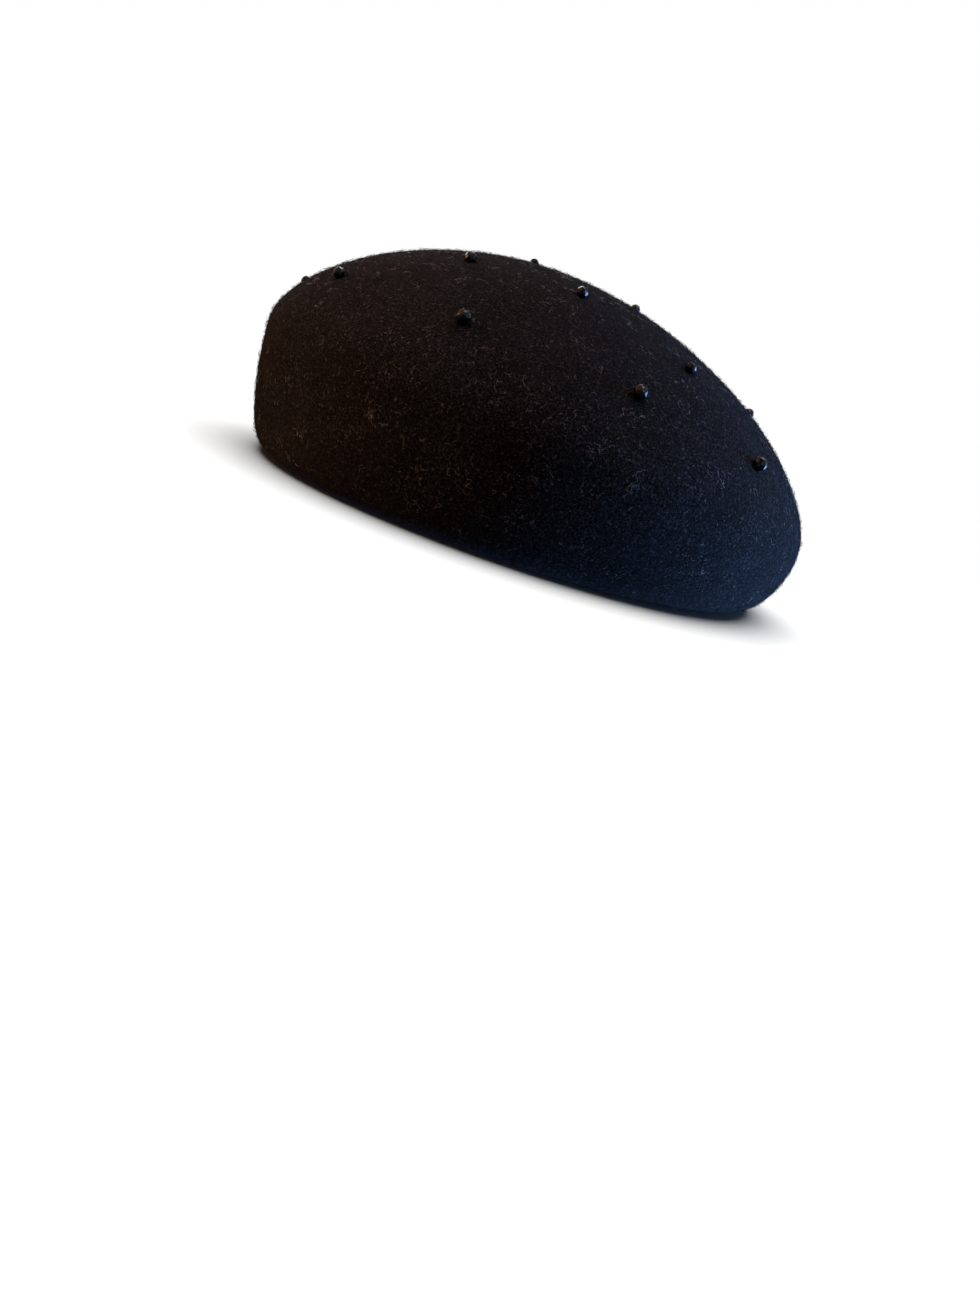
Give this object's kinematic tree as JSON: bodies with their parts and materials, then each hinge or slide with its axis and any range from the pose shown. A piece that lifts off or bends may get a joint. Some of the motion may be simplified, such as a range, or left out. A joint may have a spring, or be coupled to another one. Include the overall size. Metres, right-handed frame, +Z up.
{
  "type": "beret",
  "caption": "Blocked black felt beret, fuller towards one side, with a wired edge, an inner petersham band and faceted jet beads scattered over the crown.",
  "frame": {"origin": "the middle of the hat's widest line in plan, on the plane that the underside of its rim rests on", "axes": "+Z up out of the crown, -Y to the front over the wearer's face, +X to the wearer's left, the side the hat falls towards"},
  "size_m": [0.206, 0.24, 0.0927],
  "materials": {
    "black_felt": "fur felt, matt, with a short soft nap",
    "black_petersham": "ribbed petersham ribbon, low sheen",
    "black_thread": "polished cotton sewing thread",
    "wrapped_wire": "millinery wire wrapped in black cotton",
    "sleeve_metal": "plain crimped tube",
    "jet_glass": "opaque black glass, fire-polished facets"
  },
  "bodies": {
    "beret": {"felt_body": "black_felt", "edge_wire": "wrapped_wire", "wire_sleeve": "sleeve_metal", "wire_thread": "black_thread", "petersham_band": "black_petersham", "band_thread": "black_thread", "bead_thread_01": "black_thread", "bead_thread_02": "black_thread", "bead_thread_03": "black_thread", "bead_thread_04": "black_thread", "bead_thread_05": "black_thread", "bead_thread_06": "black_thread", "bead_thread_07": "black_thread", "bead_thread_08": "black_thread", "bead_thread_09": "black_thread", "bead_thread_10": "black_thread", "bead_thread_11": "black_thread", "bead_thread_12": "black_thread", "bead_thread_13": "black_thread", "bead_thread_14": "black_thread", "bead_thread_15": "black_thread", "bead_thread_16": "black_thread", "bead_thread_17": "black_thread", "bead_thread_18": "black_thread", "bead_thread_19": "black_thread", "bead_thread_20": "black_thread", "bead_thread_21": "black_thread", "bead_thread_22": "black_thread", "bead_thread_23": "black_thread"},
    "bead_01": {"bead_01": "jet_glass"},
    "bead_02": {"bead_02": "jet_glass"},
    "bead_03": {"bead_03": "jet_glass"},
    "bead_04": {"bead_04": "jet_glass"},
    "bead_05": {"bead_05": "jet_glass"},
    "bead_06": {"bead_06": "jet_glass"},
    "bead_07": {"bead_07": "jet_glass"},
    "bead_08": {"bead_08": "jet_glass"},
    "bead_09": {"bead_09": "jet_glass"},
    "bead_10": {"bead_10": "jet_glass"},
    "bead_11": {"bead_11": "jet_glass"},
    "bead_12": {"bead_12": "jet_glass"},
    "bead_13": {"bead_13": "jet_glass"},
    "bead_14": {"bead_14": "jet_glass"},
    "bead_15": {"bead_15": "jet_glass"},
    "bead_16": {"bead_16": "jet_glass"},
    "bead_17": {"bead_17": "jet_glass"},
    "bead_18": {"bead_18": "jet_glass"},
    "bead_19": {"bead_19": "jet_glass"},
    "bead_20": {"bead_20": "jet_glass"},
    "bead_21": {"bead_21": "jet_glass"},
    "bead_22": {"bead_22": "jet_glass"},
    "bead_23": {"bead_23": "jet_glass"}
  },
  "joints": [
    {"name": "bead_01_spin", "type": "hinge", "parent": "beret", "child": "bead_01", "pos_m": [-0.09566, -0.01154, 0.0585], "axis": [0.4545, -0.7841, 0.4227], "continuous": true},
    {"name": "bead_02_spin", "type": "hinge", "parent": "beret", "child": "bead_02", "pos_m": [-0.07324, -0.06491, 0.06116], "axis": [0.7203, 0.2464, 0.6485], "continuous": true},
    {"name": "bead_03_spin", "type": "hinge", "parent": "beret", "child": "bead_03", "pos_m": [-0.03746, -0.05861, 0.07864], "axis": [0.9243, -0.3759, 0.0664], "continuous": true},
    {"name": "bead_04_spin", "type": "hinge", "parent": "beret", "child": "bead_04", "pos_m": [-0.02984, -0.1005, 0.05874], "axis": [0.772, -0.5739, -0.2731], "continuous": true},
    {"name": "bead_05_spin", "type": "hinge", "parent": "beret", "child": "bead_05", "pos_m": [-0.02152, 0, 0.09093], "axis": [0.8634, -0.5, 0.0678], "continuous": true},
    {"name": "bead_06_spin", "type": "hinge", "parent": "beret", "child": "bead_06", "pos_m": [-0.00179, -0.06349, 0.07931], "axis": [0.9646, 0.2625, 0.0239], "continuous": true},
    {"name": "bead_07_spin", "type": "hinge", "parent": "beret", "child": "bead_07", "pos_m": [0.02183, -0.10204, 0.05551], "axis": [0.8925, 0.4447, 0.0755], "continuous": true},
    {"name": "bead_08_spin", "type": "hinge", "parent": "beret", "child": "bead_08", "pos_m": [0.01821, -0.00405, 0.08725], "axis": [-0.973, -0.0716, 0.2196], "continuous": true},
    {"name": "bead_09_spin", "type": "hinge", "parent": "beret", "child": "bead_09", "pos_m": [0.03624, -0.0697, 0.06871], "axis": [0.9434, 0.1855, -0.275], "continuous": true},
    {"name": "bead_10_spin", "type": "hinge", "parent": "beret", "child": "bead_10", "pos_m": [0.06435, -0.07888, 0.04894], "axis": [0.3939, 0.8796, 0.2668], "continuous": true},
    {"name": "bead_11_spin", "type": "hinge", "parent": "beret", "child": "bead_11", "pos_m": [0.0692, -0.00895, 0.06626], "axis": [-0.7586, 0.414, 0.5031], "continuous": true},
    {"name": "bead_12_spin", "type": "hinge", "parent": "beret", "child": "bead_12", "pos_m": [0.09318, 0.01931, 0.04475], "axis": [-0.0393, 0.9914, -0.1246], "continuous": true},
    {"name": "bead_13_spin", "type": "hinge", "parent": "beret", "child": "bead_13", "pos_m": [0.04213, 0.01856, 0.07909], "axis": [-0.8571, 0.4256, 0.2902], "continuous": true},
    {"name": "bead_14_spin", "type": "hinge", "parent": "beret", "child": "bead_14", "pos_m": [0.06605, 0.05788, 0.05846], "axis": [-0.7002, -0.356, 0.6189], "continuous": true},
    {"name": "bead_15_spin", "type": "hinge", "parent": "beret", "child": "bead_15", "pos_m": [0.02565, 0.05155, 0.07833], "axis": [-0.2025, 0.9558, -0.213], "continuous": true},
    {"name": "bead_16_spin", "type": "hinge", "parent": "beret", "child": "bead_16", "pos_m": [0.03528, 0.0965, 0.05466], "axis": [-0.9406, 0.1971, 0.2766], "continuous": true},
    {"name": "bead_17_spin", "type": "hinge", "parent": "beret", "child": "bead_17", "pos_m": [0.00303, 0.08206, 0.07109], "axis": [-0.4989, -0.7551, 0.4253], "continuous": true},
    {"name": "bead_18_spin", "type": "hinge", "parent": "beret", "child": "bead_18", "pos_m": [-0.02071, 0.10441, 0.05729], "axis": [-0.9933, -0.0431, -0.1076], "continuous": true},
    {"name": "bead_19_spin", "type": "hinge", "parent": "beret", "child": "bead_19", "pos_m": [-0.0256, 0.05226, 0.08255], "axis": [-0.5762, -0.7985, 0.1746], "continuous": true},
    {"name": "bead_20_spin", "type": "hinge", "parent": "beret", "child": "bead_20", "pos_m": [-0.05301, 0.07437, 0.06741], "axis": [0.6425, -0.5441, 0.5396], "continuous": true},
    {"name": "bead_21_spin", "type": "hinge", "parent": "beret", "child": "bead_21", "pos_m": [-0.05147, 0.03373, 0.08165], "axis": [-0.4135, -0.9093, 0.0475], "continuous": true},
    {"name": "bead_22_spin", "type": "hinge", "parent": "beret", "child": "bead_22", "pos_m": [-0.08682, 0.03998, 0.06142], "axis": [-0.7381, -0.436, -0.5149], "continuous": true},
    {"name": "bead_23_spin", "type": "hinge", "parent": "beret", "child": "bead_23", "pos_m": [-0.07316, 0.01405, 0.07528], "axis": [0.4431, -0.8397, 0.3141], "continuous": true}
  ]
}
